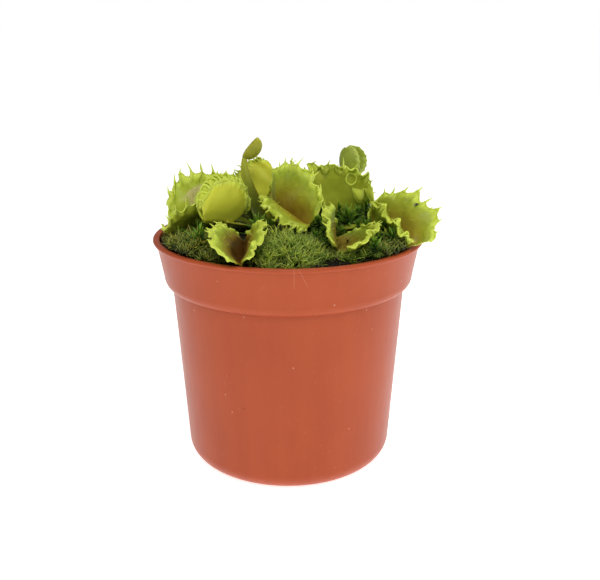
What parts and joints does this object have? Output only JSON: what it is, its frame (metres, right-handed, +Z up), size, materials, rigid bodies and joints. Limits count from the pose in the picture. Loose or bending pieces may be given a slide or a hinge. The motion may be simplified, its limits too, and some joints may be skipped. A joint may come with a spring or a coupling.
{
  "type": "potted venus flytrap",
  "caption": "Small rosette of toothed, two-lobed traps with moss in a tapered plastic plant pot with a collar.",
  "frame": {"origin": "centre of the pot's flat underside, on the pot's axis", "axes": "+Z up along the pot's axis, +X to the right and +Y away from the viewer, as the picture is seen"},
  "size_m": [0.0931, 0.0912, 0.1094],
  "materials": {
    "pot_plastic": "satin",
    "peat": "matte",
    "rhizome": "matte",
    "leaf": "satin",
    "young_leaf": "satin",
    "bright_moss": "matte",
    "dark_moss": "matte",
    "star_moss": "matte"
  },
  "bodies": {
    "root": {"leaf_back_left": "leaf", "leaf_back_right": "leaf", "leaf_centre": "leaf", "leaf_far_left": "leaf", "leaf_front_left": "leaf", "leaf_front_right": "leaf", "leaf_left_closed": "leaf", "leaf_rear": "leaf", "leaf_rear_left": "leaf", "leaf_rear_right": "leaf", "leaf_right": "leaf", "leaf_young_bean": "young_leaf", "leaf_young_upright": "young_leaf", "moss_front": "bright_moss", "moss_left": "dark_moss", "moss_rear": "bright_moss", "moss_rear_left": "dark_moss", "moss_rear_right": "bright_moss", "moss_right": "dark_moss", "pot": "pot_plastic", "rhizome": "rhizome", "soil": "peat", "star_moss_centre": "star_moss", "star_moss_front_right": "star_moss", "star_moss_left": "star_moss", "star_moss_middle_right": "star_moss", "star_moss_rear": "star_moss", "star_moss_rear_left": "star_moss", "star_moss_right_lower": "star_moss", "star_moss_right_upper": "star_moss"}
  },
  "joints": []
}
